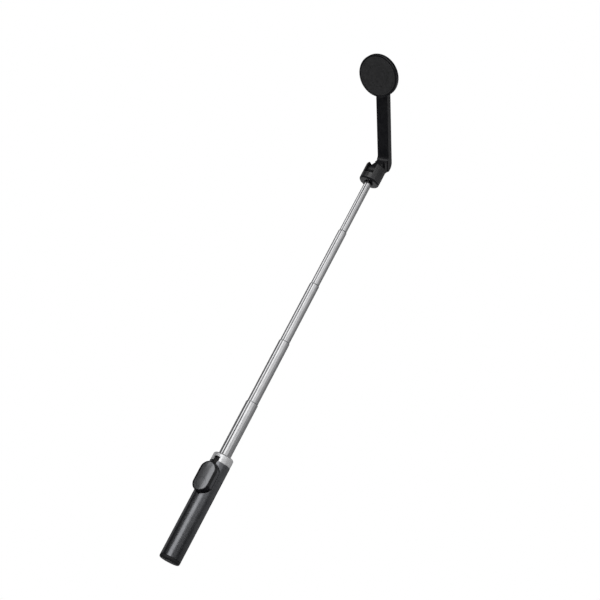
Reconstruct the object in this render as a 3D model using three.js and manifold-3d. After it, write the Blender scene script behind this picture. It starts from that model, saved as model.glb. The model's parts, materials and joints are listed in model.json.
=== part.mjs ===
// Telescopic selfie stick: a round handle with a clip-on remote, five nested steel tubes,
// and a forked head with a folding arm that carries a swivelling magnetic phone plate.
//
// Millimetres, +Z up along the stick, origin at the centre of the handle's bottom face.
// The front, -Y, is the side with the remote and the tubes' grooves. The stick is drawn
// fully pulled out, with its arm tilted forward.

import * as THREE from 'three';
import { mergeVertices } from 'three/addons/utils/BufferGeometryUtils.js';
import Module from 'manifold-3d';

const wasm = await Module();
wasm.setup();

// ---------------------------------------------------------------- driving dimensions

const GAP = 0.3;                 // between pieces that touch
const RUNNING_GAP = 0.1;         // radial, where one piece slides in another

// handle
const HANDLE_R = 13.3;
const HANDLE_WALL = 1.6;
const HANDLE_TOP = 129.6;
const BASE_CAP_H = 4.4;
const SPIGOT_H = 9;               // of the base cap, up inside the handle
const EDGE_R = 2.5;              // rounding of the handle's, collar's and head's end edges
const COLLAR_R = 13.1;
const COLLAR_H = 11.1;
const COLLAR_WALL = 1.2;
const COLLAR_SEAT_H = 2.9;
const NOTCH_W = 8.0;
const NOTCH_H = 5.8;
const SLEEVE_WALL = 1.2;
const THROAT_H = 20;             // guide bush in the handle's mouth

// telescopic tubes, from the handle outwards
const TUBE_OUT = [74.5, 88.5, 85.5, 82.5, 78.0];   // length of each that shows when pulled out
const TUBE_COUNT = TUBE_OUT.length;
const TUBE_1_R = 7.8;
const TUBE_STEP = 0.74;          // radius lost from one tube to the next
const TUBE_WALL = 0.45;
const OVERLAP = 8;               // length of a tube left inside the one around it
const TUBE_1_TAIL = 2;           // tube 1 reaches this far below the throat bush
const BUSH_L = 12;
const LIP_H = 1.4;               // turned-in mouth
const GROOVE_R = 2.8;            // rolled groove that stops the tubes turning
const GROOVE_SETBACK = 2.2;      // its centre lies this far outside the tube's skin
const DENT_W = 3.0;
const DENT_H = 4.2;
const DENT_DEPTH = 0.28;
const DENT_BELOW_RIM = 5.2;

// clip-on remote and its cradle
const REMOTE_W = 22.3;
const REMOTE_L = 39.5;
const REMOTE_T = 6.8;
const REMOTE_Z = 105.9;          // centre
const REMOTE_WALL = 1.3;
const REMOTE_BEVEL = 0.9;
const FACE_PROUD = 1.1;          // the grey face in front of the case's edge
const FACE_T = 1.4;
const FACE_BEVEL = 0.35;
const FACE_GAP = 0.2;            // between the face and the case's wall
const CRADLE_W = 21.3;           // a little narrower than the remote, and a little longer
const CRADLE_L = 40.1;
const CRADLE_FACE = 13.4;        // its flat face, in front of the stick's axis
const CRADLE_DEPTH = 5.6;
const TONGUE_W = 5.2;
const TONGUE_SUNK = 0.9;         // below the collar's surface
const TONGUE_SHORT = 3.6;        // below the top of the collar's notch
const CRADLE_MAGNET_R = 3;
const CRADLE_MAGNET_T = 1.5;
const CRADLE_MAGNET_SPREAD = 12; // each side of the remote's middle
const BUTTON_R = 6.2;
const BUTTON_BELOW = 8.4;        // button's centre below the remote's
const BUTTON_GAP = 0.25;
const BUTTON_SUNK = 0.1;         // below the face
const FLANGE_W = 0.8;            // holds the button in from behind
const FLANGE_T = 0.4;

// head
const HEAD_R = 13.7;
const HEAD_H = 25.5;
const SLOT_W = 13.0;
const SLOT_FLOOR = 8.9;          // above the head's bottom face
const PIVOT_UP = 18.0;           // hinge axis above the head's bottom face
const MOUTH_W = 1.0;             // the tube's socket is this much wider at its mouth
const MOUTH_H = 2.0;
const KNUCKLE_R = 8.5;
const KNUCKLE_W = 11.0;
const WASHER_R = 7;
const WASHER_T = 0.4;
const HINGE_HOLE_R = 2.3;
const HINGE_HEAD_R = 3.6;
const HINGE_HEAD_T = 1.8;
const EAR_WALL = 3.3;            // left under the hinge screw's head
const GRUB_R = 1.5;
const GRUB_L = 5;

// arm, in the arm's own frame: z along the arm, -y towards the phone
const ARM_TILT = 55.7;           // degrees forward of the stick's line
const ARM_W = 17.0;
const ARM_FRONT = 22.6;          // bar's front face behind the hinge axis
const ARM_T = 7.6;
const ARM_BEVEL = 1;
const LEG_TOP = 8.2;
const LEG_LOW = 6.5;             // the leg's underside below the hinge axis
const LEG_FILLET = 6.0;
const LEG_W = 15.0;
const LEG_FROM = 14.5;           // it starts this far behind the hinge, clear of the head's ears
const CORNER_R = 11;             // outside of the bend
const SHOULDER = 2;              // the full width starts this far in front of the bar
const MOUNT_UP = 126.1;          // plate's centre above the hinge axis
const SWIVEL_HEAD_R = 3.6;
const SWIVEL_HEAD_T = 1.6;
const SWIVEL_SEAT = 4.1;         // behind the bar's front face
const SCREW_CAP_T = 1.2;

// magnetic phone plate
const PLATE_R = 28;
const PLATE_FACE = 13.7;         // front face behind the hinge axis
const PAD_PROUD = 0.4;
const PAD_T = 1.3;
const MAGNET_T = 1.9;
const YOKE_T = 0.6;
const PLATE_FLOOR = 1.8;
const PLATE_WALL = 2.1;
const PLATE_EDGE_R = 1.5;
const MAGNET_RING_W = 6.6;
const YOKE_RING_W = 9.9;
const SWIVEL_HUB_R = 9;
const SWIVEL_WASHER_T = 0.6;
const NUT_T = 1.6;

const AROUND = 36;               // flats round a full turn of a large round piece
const AROUND_SMALL = 24;
const AROUND_GRUB = 16;
const HEXAGON = 6;
const CLEAR = 1;                 // a cutting tool reaches this far past what it cuts

// ---------------------------------------------------------------- derived sizes

const tubeRadius = (number) => TUBE_1_R - (number - 1) * TUBE_STEP;
const collarTop = HANDLE_TOP + GAP + COLLAR_H;
const tubeNumbers = Array.from({ length: TUBE_COUNT }, (_, index) => index + 1);
const rimHeight = (number) => TUBE_OUT.slice(0, number).reduce((sum, out) => sum + out, collarTop);
const headBottom = rimHeight(TUBE_COUNT);
const pivotZ = headBottom + PIVOT_UP;
const throatTop = collarTop - GAP;
const throatBottom = throatTop - THROAT_H;
const tubeLow = (number) => (number === 1 ? throatBottom - TUBE_1_TAIL : rimHeight(number - 1) - OVERLAP);
const sleeveBore = tubeRadius(0) - TUBE_WALL;
const sleeveR = sleeveBore + SLEEVE_WALL;
const handleBore = HANDLE_R - HANDLE_WALL;
const remoteBack = -(CRADLE_FACE + GAP);
const remoteFront = remoteBack - REMOTE_T;
const buttonZ = REMOTE_Z - BUTTON_BELOW;
const faceBack = remoteFront + FACE_T;
const magnetHeights = [REMOTE_Z - CRADLE_MAGNET_SPREAD, REMOTE_Z + CRADLE_MAGNET_SPREAD];

// ---------------------------------------------------------------- materials

const finish = (color, roughness, metalness = 0) =>
  () => new THREE.MeshStandardMaterial({ color, roughness, metalness });
const satinBlack = finish(0x1c1d20, 0.42);
const mattBlack = finish(0x17181a, 0.6);
const glossBlack = finish(0x0c0c0e, 0.25);
const greyFace = finish(0x6d6e72, 0.35, 0.3);
const silver = finish(0xd9dadc, 0.3, 0.9);
const stainless = finish(0xc9cacc, 0.18, 1);
const darkSteel = finish(0x6f7276, 0.4, 1);
const nylon = finish(0x2a2b2d, 0.55);
const boardGreen = finish(0x1f5a38, 0.6);
const nickel = finish(0xb9b8b4, 0.3, 1);
const padBlack = finish(0x121214, 0.75);

// ---------------------------------------------------------------- solids

/** A closed manifold solid from any three.js geometry. */
function solid(geometry) {
  const bare = geometry.index ? geometry.toNonIndexed() : geometry.clone();
  bare.deleteAttribute('normal');
  bare.deleteAttribute('uv');
  const merged = mergeVertices(bare, 1e-4);
  return new wasm.Manifold(new wasm.Mesh({
    numProp: 3,
    vertProperties: new Float32Array(merged.attributes.position.array),
    triVerts: new Uint32Array(merged.index.array),
  }));
}

/** A three.js geometry from a manifold solid. */
function geometryOf(body) {
  const mesh = body.getMesh();
  const geometry = new THREE.BufferGeometry();
  geometry.setAttribute('position', new THREE.BufferAttribute(mesh.vertProperties, 3));
  geometry.setIndex(new THREE.BufferAttribute(mesh.triVerts, 1));
  geometry.computeVertexNormals();
  return geometry;
}

const cut = (body, ...tools) =>
  geometryOf(tools.reduce((rest, tool) => rest.subtract(solid(tool)), solid(body)));
const join = (body, ...others) =>
  geometryOf(others.reduce((sum, other) => sum.add(solid(other)), solid(body)));
const overlap = (body, other) => geometryOf(solid(body).intersect(solid(other)));

function mesh(name, geometry, material) {
  const part = new THREE.Mesh(geometry, material());
  part.name = name;
  return part;
}

// ---------------------------------------------------------------- basic shapes

const points = (...pairs) => pairs.map(([x, y]) => new THREE.Vector2(x, y));

/** A profile of [radius, height] points turned about the Z axis. */
function turned(profile, segments = AROUND) {
  return new THREE.LatheGeometry(profile, segments).rotateX(Math.PI / 2);
}

/** Points of a quarter-round edge, from one angle to another about its centre. */
function edgeArc(centreR, centreZ, radius, fromDeg, toDeg, steps = 3) {
  return Array.from({ length: steps + 1 }, (_, index) => {
    const angle = THREE.MathUtils.degToRad(fromDeg + (toDeg - fromDeg) * index / steps);
    return new THREE.Vector2(centreR + radius * Math.cos(angle), centreZ + radius * Math.sin(angle));
  });
}

/** A ring or disc with square edges; a bore of 0 makes it a disc. */
function ring(bore, radius, low, high, segments = AROUND) {
  const corners = bore > 0
    ? points([bore, low], [radius, low], [radius, high], [bore, high], [bore, low])
    : points([0, low], [radius, low], [radius, high], [0, high]);
  return turned(corners, segments);
}

function box(width, depth, height, x, y, z) {
  return new THREE.BoxGeometry(width, depth, height).translate(x, y, z);
}

function extruded(shape, length, bevel = 0) {
  return new THREE.ExtrudeGeometry(shape, {
    depth: length - 2 * bevel,
    steps: 1,
    curveSegments: 10,
    bevelEnabled: bevel > 0,
    bevelThickness: bevel,
    bevelSize: bevel,
    bevelOffset: -bevel,
    bevelSegments: 2,
  }).translate(0, 0, bevel);
}

/** Extrudes a shape drawn in X and Y from one height to another. */
function alongZ(shape, low, high) {
  return extruded(shape, high - low).translate(0, 0, low);
}

/** Extrudes a shape drawn in X and Z towards the front, from y = back to y = front. */
function towardsFront(shape, back, front, bevel = 0) {
  return extruded(shape, back - front, bevel).rotateX(Math.PI / 2).translate(0, back, 0);
}

/** Extrudes a shape drawn in Y and Z across the stick, centred on the YZ plane. */
function acrossX(shape, width, bevel = 0) {
  const turn = new THREE.Matrix4().makeBasis(
    new THREE.Vector3(0, 1, 0), new THREE.Vector3(0, 0, 1), new THREE.Vector3(1, 0, 0));
  return extruded(shape, width, bevel).applyMatrix4(turn).translate(-width / 2, 0, 0);
}

/** A ring or disc on the X axis, from x = low to x = high, at height z. */
function ringOnX(bore, radius, low, high, z, segments = AROUND_SMALL) {
  return ring(bore, radius, low, high, segments).rotateY(Math.PI / 2).translate(0, 0, z);
}

/** A ring or disc on an axis parallel to Y, from y = low to y = high, at height z. */
function ringOnY(bore, radius, low, high, z, segments = AROUND_SMALL) {
  return ring(bore, radius, -high, -low, segments).rotateX(Math.PI / 2).translate(0, 0, z);
}

/** An upright pill outline: a rectangle with semicircular ends, centred at height z. */
function pill(width, length, z) {
  const radius = width / 2;
  const straight = length / 2 - radius;
  const shape = new THREE.Shape();
  shape.absarc(0, z + straight, radius, 0, Math.PI, false);
  shape.absarc(0, z - straight, radius, Math.PI, 2 * Math.PI, false);
  return shape;
}

// ---------------------------------------------------------------- grooved tube outlines

const GROOVE_SPAN = 20;          // degrees each side of the front that may hold the groove
const GROOVE_STEPS = 8;
const PLAIN_STEPS = 32;

/** Directions of an outline's points, in radians from the front, closer over the groove. */
function outlineAngles() {
  const fine = Array.from({ length: GROOVE_STEPS },
    (_, index) => -GROOVE_SPAN + index * 2 * GROOVE_SPAN / GROOVE_STEPS);
  const plainSpan = 360 - 2 * GROOVE_SPAN;
  const plain = Array.from({ length: PLAIN_STEPS },
    (_, index) => GROOVE_SPAN + index * plainSpan / PLAIN_STEPS);
  return [...fine, ...plain].map(THREE.MathUtils.degToRad);
}

/**
 * The outline of a grooved tube, or one parallel to it. A negative offset lies inside the
 * tube's skin. Every outline has its points in the same directions, so that outlines with
 * different offsets never cross.
 */
function groovedOutline(tubeR, offset) {
  const grooveCentre = tubeR + GROOVE_SETBACK;
  const grooveRadius = GROOVE_R - offset;
  return outlineAngles().map((angle) => {
    const across = grooveCentre * Math.sin(angle);
    const inGroove = Math.abs(across) < grooveRadius && Math.cos(angle) > 0;
    const toGroove = inGroove
      ? grooveCentre * Math.cos(angle) - Math.sqrt(grooveRadius ** 2 - across ** 2)
      : Infinity;
    const reach = Math.min(tubeR + offset, toGroove);
    return new THREE.Vector2(reach * Math.sin(angle), -reach * Math.cos(angle));
  });
}

function roundOutline(radius) {
  return outlineAngles().map((angle) =>
    new THREE.Vector2(radius * Math.sin(angle), -radius * Math.cos(angle)));
}

/** A tube between two outlines, from one height to another. */
function pipe(outer, inner, low, high) {
  const shape = new THREE.Shape(outer);
  shape.holes.push(new THREE.Path(inner));
  return alongZ(shape, low, high);
}

/** A round rod whose flats line up with the tubes' outlines. */
function rod(radius, low, high) {
  return alongZ(new THREE.Shape(roundOutline(radius)), low, high);
}

/** The lens-shaped tools that press a pair of stop dents into a tube's sides. */
function dents(tubeR, z) {
  return [-1, 1].map((side) => {
    const lens = new THREE.SphereGeometry(1, 12, 8);
    lens.scale(2 * DENT_DEPTH, DENT_W / 2, DENT_H / 2);
    return lens.translate(side * (tubeR + DENT_DEPTH), 0, z);
  });
}

// ---------------------------------------------------------------- handle

function handleShell() {
  const tube = ring(handleBore, HANDLE_R, BASE_CAP_H + GAP, HANDLE_TOP);
  const window = towardsFront(
    pill(CRADLE_W + 2 * GAP, CRADLE_L + 2 * GAP, REMOTE_Z), -HANDLE_R / 2, -HANDLE_R - CLEAR);
  const slotLow = REMOTE_Z + REMOTE_L / 2;
  const slotHeight = 2 * (HANDLE_TOP - slotLow);
  const tongueSlot = box(TONGUE_W + 2 * GAP, HANDLE_R, slotHeight, 0, -HANDLE_R, slotLow + slotHeight / 2);
  return mesh('handle_shell', cut(tube, window, tongueSlot), satinBlack);
}

function baseCap() {
  const spigotOut = handleBore - GAP;
  const spigotIn = sleeveR + GAP;
  const spigotTop = BASE_CAP_H + SPIGOT_H;
  const profile = [
    ...points([0, 0]),
    ...edgeArc(HANDLE_R - EDGE_R, EDGE_R, EDGE_R, -90, 0),
    ...points([HANDLE_R, BASE_CAP_H], [spigotOut, BASE_CAP_H], [spigotOut, spigotTop],
      [spigotIn, spigotTop], [spigotIn, BASE_CAP_H], [0, BASE_CAP_H]),
  ];
  return mesh('base_cap', turned(profile), mattBlack);
}

function guideSleeve() {
  const outer = roundOutline(sleeveR);
  const bore = groovedOutline(tubeRadius(0), -TUBE_WALL);
  const low = BASE_CAP_H + GAP;
  return mesh('guide_sleeve', pipe(outer, bore, low, throatBottom - GAP), nylon);
}

function throatBush() {
  const outer = roundOutline(sleeveR);
  const bore = groovedOutline(tubeRadius(1), RUNNING_GAP);
  return mesh('throat_bush', pipe(outer, bore, throatBottom, throatTop), nylon);
}

function collarSeat() {
  const top = HANDLE_TOP - GAP;
  const seat = ring(sleeveR + GAP, handleBore - GAP, top - COLLAR_SEAT_H, top);
  const tongueGap = box(TONGUE_W + 2 * GAP, HANDLE_R, 2 * COLLAR_SEAT_H + CLEAR, 0, -HANDLE_R, top);
  return mesh('collar_seat', cut(seat, tongueGap), mattBlack);
}

function collar() {
  const low = HANDLE_TOP + GAP;
  const bore = sleeveR + GAP;
  const inside = COLLAR_R - COLLAR_WALL;
  const profile = [
    ...points([inside, low], [COLLAR_R, low]),
    ...edgeArc(COLLAR_R - EDGE_R, collarTop - EDGE_R, EDGE_R, 0, 90),
    ...points([bore, collarTop], [bore, collarTop - COLLAR_WALL]),
    ...edgeArc(COLLAR_R - EDGE_R, collarTop - EDGE_R, EDGE_R - COLLAR_WALL, 90, 0),
    ...points([inside, low]),
  ];
  const notch = box(NOTCH_W, HANDLE_R, 2 * NOTCH_H, 0, -HANDLE_R, low);
  return mesh('collar', cut(turned(profile), notch), silver);
}

function remoteCradle() {
  const boss = towardsFront(pill(CRADLE_W, CRADLE_L, REMOTE_Z), CRADLE_DEPTH - CRADLE_FACE, -CRADLE_FACE);
  const sleeveRoom = ring(0, sleeveR + GAP, 0, HANDLE_TOP);
  const magnetPockets = magnetHeights.map((z) =>
    ringOnY(0, CRADLE_MAGNET_R + GAP, -CRADLE_FACE - CLEAR, CRADLE_MAGNET_T + GAP - CRADLE_FACE, z));
  return mesh('remote_cradle', cut(boss, sleeveRoom, ...magnetPockets), satinBlack);
}

/** The black key above the cradle, which fills the slots in the handle and the collar. */
function cradleTongue() {
  const low = REMOTE_Z + CRADLE_L / 2 + GAP;
  const top = HANDLE_TOP + GAP + NOTCH_H - TONGUE_SHORT;
  const back = -(sleeveR + GAP);
  const front = TONGUE_SUNK - COLLAR_R;
  return mesh('cradle_tongue',
    box(TONGUE_W, back - front, top - low, 0, (back + front) / 2, (top + low) / 2), mattBlack);
}

function cradleMagnets() {
  return magnetHeights.map((z, index) => mesh(
    ['cradle_magnet_lower', 'cradle_magnet_upper'][index],
    ringOnY(0, CRADLE_MAGNET_R, -CRADLE_FACE, CRADLE_MAGNET_T - CRADLE_FACE, z), nickel));
}

// ---------------------------------------------------------------- remote

const CELL_R = 8;
const CELL_T = 1.6;
const DOOR_T = 0.7;
const BOARD_T = 0.6;
const SWITCH_R = 2;
const SWITCH_T = 1.8;
const cellZ = REMOTE_Z + REMOTE_L / 2 - REMOTE_W / 2;
const remoteInside = remoteBack - DOOR_T - GAP;

function remoteCase() {
  const opening = 2 * REMOTE_WALL;
  const body = towardsFront(pill(REMOTE_W, REMOTE_L, REMOTE_Z), remoteBack,
    remoteFront + FACE_PROUD, REMOTE_BEVEL);
  const hollow = towardsFront(pill(REMOTE_W - opening, REMOTE_L - opening, REMOTE_Z),
    remoteInside + GAP / 2, remoteFront - CLEAR);
  const doorHole = ringOnY(0, CELL_R + 2 * GAP, remoteInside - GAP, remoteBack + CLEAR, cellZ);
  return mesh('remote_case', cut(body, hollow, doorHole), glossBlack);
}

function remoteCellDoor() {
  return mesh('remote_cell_door',
    ringOnY(0, CELL_R + GAP, remoteBack - DOOR_T, remoteBack, cellZ), glossBlack);
}

function remoteCell() {
  return mesh('remote_cell',
    ringOnY(0, CELL_R, remoteInside - CELL_T, remoteInside, cellZ), nickel);
}

function remoteBoard() {
  const margin = 2 * (REMOTE_WALL + GAP);
  const outline = towardsFront(pill(REMOTE_W - margin, REMOTE_L - margin, REMOTE_Z),
    remoteInside - GAP, remoteInside - GAP - BOARD_T);
  const cellRoom = box(REMOTE_W, 2 * REMOTE_T, REMOTE_L, 0, remoteBack, cellZ - CELL_R - CLEAR + REMOTE_L / 2);
  return mesh('remote_board', cut(outline, cellRoom), boardGreen);
}

function shutterSwitch() {
  const back = remoteInside - 2 * GAP - BOARD_T;
  return mesh('shutter_switch', ringOnY(0, SWITCH_R, back - SWITCH_T, back, buttonZ), darkSteel);
}

function remoteFace() {
  const margin = 2 * (REMOTE_WALL + FACE_GAP);
  const plate = towardsFront(pill(REMOTE_W - margin, REMOTE_L - margin, REMOTE_Z),
    faceBack, remoteFront, FACE_BEVEL);
  const buttonHole = ringOnY(0, BUTTON_R + BUTTON_GAP, remoteFront - CLEAR, faceBack + CLEAR, buttonZ);
  return mesh('remote_face', cut(plate, buttonHole), greyFace);
}

function shutterButton() {
  const flangeFront = faceBack + GAP;
  const flangeBack = flangeFront + FLANGE_T;
  const cap = ringOnY(0, BUTTON_R, remoteFront + BUTTON_SUNK, flangeBack, buttonZ);
  const flange = ringOnY(0, BUTTON_R + FLANGE_W, flangeFront, flangeBack, buttonZ);
  return mesh('shutter_button', join(cap, flange), greyFace);
}

// ---------------------------------------------------------------- tubes

function telescopicTube(number) {
  const radius = tubeRadius(number);
  const rim = rimHeight(number);
  const low = tubeLow(number);
  const skin = groovedOutline(radius, 0);
  const bore = groovedOutline(radius, -TUBE_WALL);
  if (number === TUBE_COUNT) {
    return mesh(`tube_${number}`, pipe(skin, bore, low, rim + SLOT_FLOOR - 2 * GAP), stainless);
  }
  const mouth = groovedOutline(tubeRadius(number + 1), RUNNING_GAP);
  const body = pipe(skin, bore, low, rim - LIP_H);
  const lip = pipe(skin, mouth, rim - LIP_H, rim);
  const tube = cut(join(body, lip), ...dents(radius, rim - DENT_BELOW_RIM));
  return mesh(`tube_${number}`, tube, stainless);
}

function tubeBush(number) {
  const top = tubeLow(number) - GAP;
  const outer = groovedOutline(tubeRadius(number - 1), -TUBE_WALL - RUNNING_GAP);
  const bore = groovedOutline(tubeRadius(number), -TUBE_WALL);
  return mesh(`tube_${number}_bush`, pipe(outer, bore, top - BUSH_L, top), nylon);
}

// ---------------------------------------------------------------- head

const hingeHeadIn = SLOT_W / 2 + EAR_WALL;
const hingeHeadOut = hingeHeadIn + HINGE_HEAD_T;
const hingeShaftR = HINGE_HOLE_R - GAP;
const socketR = tubeRadius(TUBE_COUNT) + GAP;
const grubZ = headBottom + SLOT_FLOOR / 2;

function headBlank() {
  const top = headBottom + HEAD_H;
  const profile = [
    ...points([0, headBottom]),
    ...edgeArc(HEAD_R - EDGE_R, headBottom + EDGE_R, EDGE_R, -90, 0),
    ...edgeArc(HEAD_R - EDGE_R, top - EDGE_R, EDGE_R, 0, 90),
    ...points([0, top]),
  ];
  return turned(profile);
}

function headCover() {
  const outside = HEAD_R + CLEAR;
  const slot = box(SLOT_W, 4 * HEAD_R, HEAD_H, 0, 0, headBottom + SLOT_FLOOR + HEAD_H / 2);
  const tubeSocket = rod(socketR, headBottom - CLEAR, headBottom + SLOT_FLOOR + CLEAR);
  const socketMouth = rod(socketR + MOUTH_W, headBottom - CLEAR, headBottom + MOUTH_H);
  const hingeHole = ringOnX(0, HINGE_HOLE_R, -outside, outside, pivotZ);
  const headRecess = ringOnX(0, HINGE_HEAD_R + GAP, hingeHeadIn - GAP, outside, pivotZ);
  const nutRecess = ringOnX(0, HINGE_HEAD_R + GAP, -outside, GAP - hingeHeadIn, pivotZ);
  const grubHole = ringOnY(0, GRUB_R + GAP, tubeRadius(TUBE_COUNT), outside, grubZ, AROUND_GRUB);
  const holes = [slot, tubeSocket, socketMouth, hingeHole, headRecess, nutRecess, grubHole];
  return mesh('head_cover', cut(headBlank(), ...holes), mattBlack);
}

function headGrubScrew() {
  return mesh('head_grub_screw',
    ringOnY(0, GRUB_R, socketR, socketR + GRUB_L, grubZ, AROUND_GRUB), darkSteel);
}

function hingeScrew() {
  const head = ringOnX(0, HINGE_HEAD_R, hingeHeadIn, hingeHeadOut, pivotZ);
  const shaft = ringOnX(0, hingeShaftR, -hingeHeadOut, hingeHeadOut, pivotZ);
  return mesh('hinge_screw', join(head, shaft), darkSteel);
}

function hingeNut() {
  const hexagon = ringOnX(0, HINGE_HEAD_R, -hingeHeadOut, -hingeHeadIn, pivotZ, HEXAGON);
  const hole = ringOnX(0, HINGE_HOLE_R, -HEAD_R, 0, pivotZ);
  return mesh('hinge_nut', cut(hexagon, hole), darkSteel);
}

function hingeCap(name, side) {
  const inner = hingeHeadOut + GAP;
  const outer = HEAD_R + CLEAR;
  const ends = side > 0 ? [inner, outer] : [-outer, -inner];
  const plug = ringOnX(0, HINGE_HEAD_R, ...ends, pivotZ);
  return mesh(name, overlap(plug, headBlank()), mattBlack);
}

function frictionWasher(name, side) {
  const inner = KNUCKLE_W / 2 + GAP;
  const ends = side > 0 ? [inner, inner + WASHER_T] : [-inner - WASHER_T, -inner];
  return mesh(name, ringOnX(HINGE_HOLE_R, WASHER_R, ...ends, pivotZ), darkSteel);
}

// ---------------------------------------------------------------- arm, in its own frame

const armBack = ARM_FRONT + ARM_T;
const armTop = MOUNT_UP + ARM_W / 2;
const swivelSeat = ARM_FRONT + SWIVEL_SEAT;

/** Side outline: a round knuckle on the hinge, a leg going back, and the bar going up. */
function armOutline() {
  const shape = new THREE.Shape();
  const meetTop = Math.asin(LEG_TOP / KNUCKLE_R);
  const meetLow = 2 * Math.PI - Math.asin(LEG_LOW / KNUCKLE_R);
  shape.moveTo(KNUCKLE_R * Math.cos(meetLow), -LEG_LOW);
  shape.lineTo(armBack - CORNER_R, -LEG_LOW);
  shape.absarc(armBack - CORNER_R, CORNER_R - LEG_LOW, CORNER_R, -Math.PI / 2, 0, false);
  shape.lineTo(armBack, armTop);
  shape.lineTo(ARM_FRONT, armTop);
  shape.lineTo(ARM_FRONT, LEG_TOP + LEG_FILLET);
  shape.absarc(ARM_FRONT - LEG_FILLET, LEG_TOP + LEG_FILLET, LEG_FILLET, 0, -Math.PI / 2, true);
  shape.lineTo(KNUCKLE_R * Math.cos(meetTop), LEG_TOP);
  shape.absarc(0, 0, KNUCKLE_R, meetTop, meetLow, false);
  return shape;
}

function arm() {
  const blank = acrossX(armOutline(), ARM_W, ARM_BEVEL);
  const frontOutline = towardsFront(pill(ARM_W, 2 * armTop, 0), armBack + CLEAR, -KNUCKLE_R - CLEAR);
  const steps = [[KNUCKLE_W, LEG_FROM], [LEG_W, ARM_FRONT - SHOULDER]].flatMap(([width, reach]) =>
    [-1, 1].map((side) => box(ARM_W, 2 * reach, 4 * KNUCKLE_R, side * (width + ARM_W) / 2, 0, 0)));
  const hingeHole = ringOnX(0, HINGE_HOLE_R, -ARM_W, ARM_W, 0);
  const swivelHole = ringOnY(0, HINGE_HOLE_R, ARM_FRONT - CLEAR, armBack + CLEAR, MOUNT_UP);
  const counterbore = ringOnY(0, SWIVEL_HEAD_R + GAP, swivelSeat, armBack + CLEAR, MOUNT_UP);
  const bar = cut(overlap(blank, frontOutline), ...steps, hingeHole, swivelHole, counterbore);
  return mesh('arm', bar, satinBlack);
}

function armScrewCap() {
  return mesh('arm_screw_cap',
    ringOnY(0, SWIVEL_HEAD_R, armBack - SCREW_CAP_T, armBack, MOUNT_UP), mattBlack);
}

// ---------------------------------------------------------------- phone plate, in the arm's frame

const rimFront = PLATE_FACE + PAD_PROUD;
const padBack = PLATE_FACE + PAD_T;
const magnetBack = padBack + GAP + MAGNET_T;
const yokeBack = magnetBack + GAP + YOKE_T;
const floorFront = yokeBack + GAP;
const floorBack = floorFront + PLATE_FLOOR;
const hubBack = ARM_FRONT - 2 * GAP - SWIVEL_WASHER_T;
const plateBore = PLATE_R - PLATE_WALL;

function turnedOnMount(profile) {
  return new THREE.LatheGeometry(profile, AROUND).translate(0, 0, MOUNT_UP);
}

function mountShell() {
  const profile = [
    ...points([HINGE_HOLE_R, hubBack], [HINGE_HOLE_R, floorFront], [plateBore, floorFront],
      [plateBore, rimFront], [PLATE_R, rimFront]),
    ...edgeArc(PLATE_R - PLATE_EDGE_R, floorBack - PLATE_EDGE_R, PLATE_EDGE_R, 0, 90),
    ...points([SWIVEL_HUB_R, floorBack], [SWIVEL_HUB_R, hubBack], [HINGE_HOLE_R, hubBack]),
  ];
  return mesh('mount_shell', turnedOnMount(profile), satinBlack);
}

function mountPad() {
  return mesh('mount_pad',
    ringOnY(0, plateBore - GAP, PLATE_FACE, padBack, MOUNT_UP, AROUND), padBlack);
}

function magnetRing() {
  const outer = plateBore - GAP;
  return mesh('magnet_ring',
    ringOnY(outer - MAGNET_RING_W, outer, padBack + GAP, magnetBack, MOUNT_UP, AROUND), nickel);
}

function yokeRing() {
  const outer = plateBore - GAP;
  return mesh('yoke_ring',
    ringOnY(outer - YOKE_RING_W, outer, magnetBack + GAP, yokeBack, MOUNT_UP, AROUND),
    darkSteel);
}

function swivelScrew() {
  const headFront = swivelSeat + GAP;
  const head = ringOnY(0, SWIVEL_HEAD_R, headFront, headFront + SWIVEL_HEAD_T, MOUNT_UP);
  const shaft = ringOnY(0, hingeShaftR, padBack + 2 * GAP, headFront + SWIVEL_HEAD_T, MOUNT_UP);
  return mesh('swivel_screw', join(head, shaft), darkSteel);
}

function swivelNut() {
  const back = floorFront - GAP;
  const hexagon = ringOnY(0, 2 * hingeShaftR, back - NUT_T, back, MOUNT_UP, HEXAGON);
  const hole = ringOnY(0, HINGE_HOLE_R, 0, ARM_FRONT, MOUNT_UP);
  return mesh('swivel_nut', cut(hexagon, hole), darkSteel);
}

function swivelWasher() {
  return mesh('swivel_washer',
    ringOnY(HINGE_HOLE_R, SWIVEL_HUB_R - 1, hubBack + GAP, hubBack + GAP + SWIVEL_WASHER_T, MOUNT_UP),
    nylon);
}

// ---------------------------------------------------------------- assembly

const stick = new THREE.Group();
stick.add(handleShell(), baseCap(), guideSleeve(), throatBush(), collarSeat(), collar());
stick.add(remoteCradle(), cradleTongue(), ...cradleMagnets());
stick.add(remoteCase(), remoteCellDoor(), remoteCell(), remoteBoard(), shutterSwitch());
stick.add(remoteFace(), shutterButton());
stick.add(...tubeNumbers.map(telescopicTube), ...tubeNumbers.map(tubeBush));
stick.add(headCover(), headGrubScrew(), hingeScrew(), hingeNut());
stick.add(hingeCap('hinge_cap_right', 1), hingeCap('hinge_cap_left', -1));
stick.add(frictionWasher('friction_washer_right', 1), frictionWasher('friction_washer_left', -1));

const tiltedArm = new THREE.Group();
tiltedArm.position.z = pivotZ;
tiltedArm.rotation.x = THREE.MathUtils.degToRad(ARM_TILT);
tiltedArm.add(arm(), armScrewCap());
tiltedArm.add(mountShell(), mountPad(), magnetRing(), yokeRing());
tiltedArm.add(swivelScrew(), swivelNut(), swivelWasher());
stick.add(tiltedArm);

export default stick;
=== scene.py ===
import json
import math

import bmesh
import bpy
from mathutils import Matrix, Vector

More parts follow.
